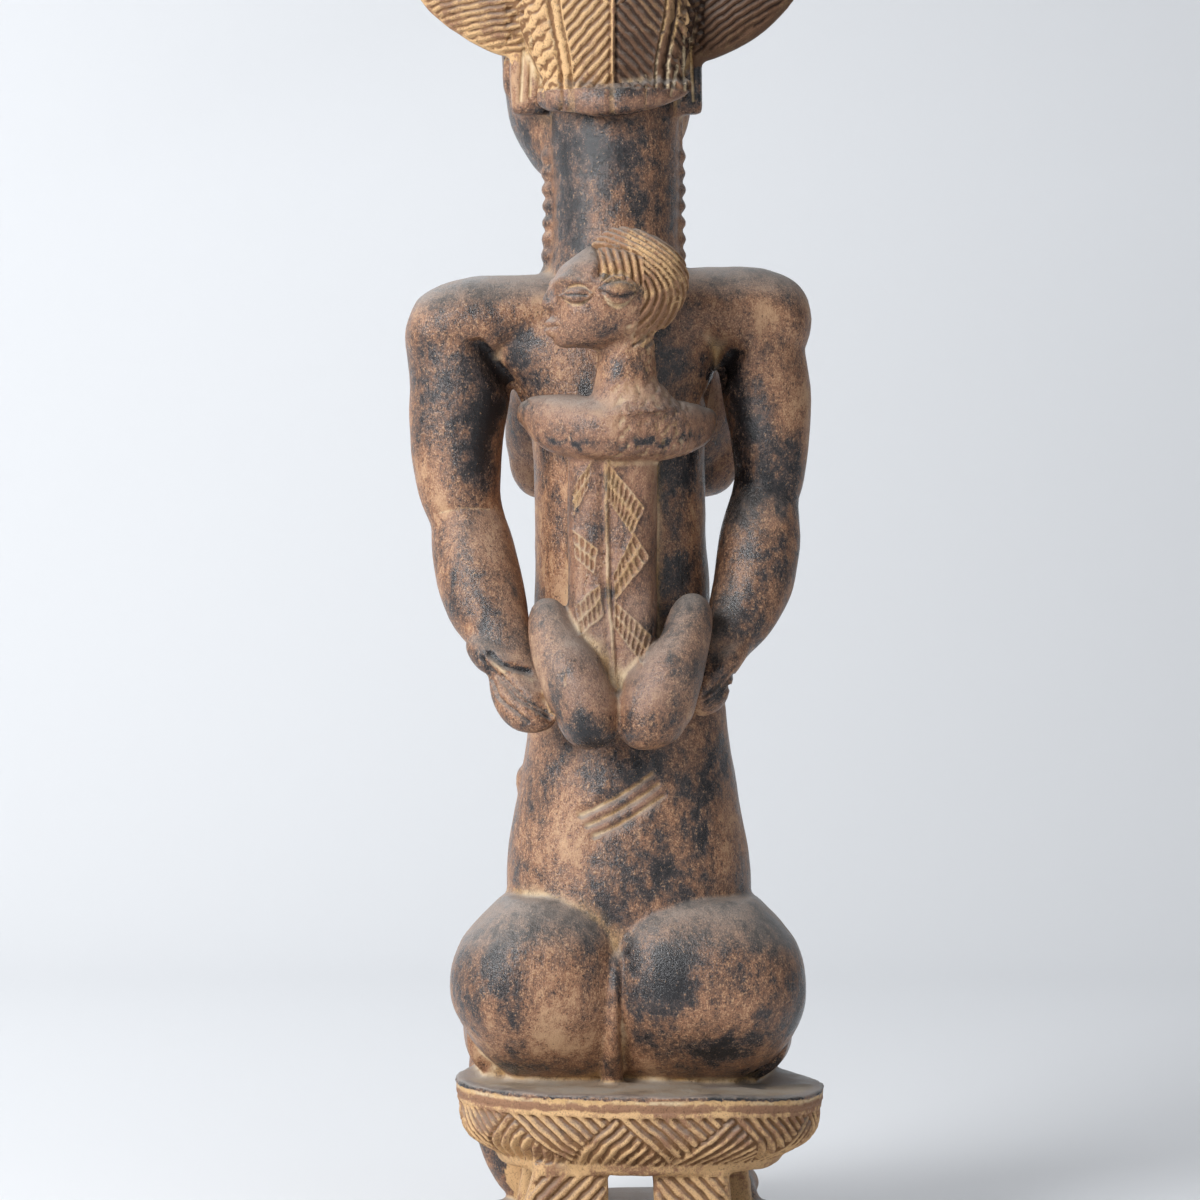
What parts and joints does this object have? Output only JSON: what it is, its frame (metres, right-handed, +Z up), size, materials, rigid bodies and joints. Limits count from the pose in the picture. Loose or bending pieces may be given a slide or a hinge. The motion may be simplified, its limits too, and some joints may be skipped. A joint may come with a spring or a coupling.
{
  "type": "carved wooden mother and child figure",
  "caption": "Seated wooden mother figure on an oval stool, holding a child on her back, with a plaited shield coiffure and hatched carving.",
  "frame": {"origin": "middle of the stool on the underside of the foot plate", "axes": "+Z up along the figure, -Y the way the mother faces, +X to her left"},
  "size_m": [0.2778, 0.2569, 0.9361],
  "materials": {
    "wood": "dark oil patina worn to red-brown, with ochre clay in the carving"
  },
  "bodies": {
    "root": {"mother_and_child": "wood"}
  },
  "joints": []
}
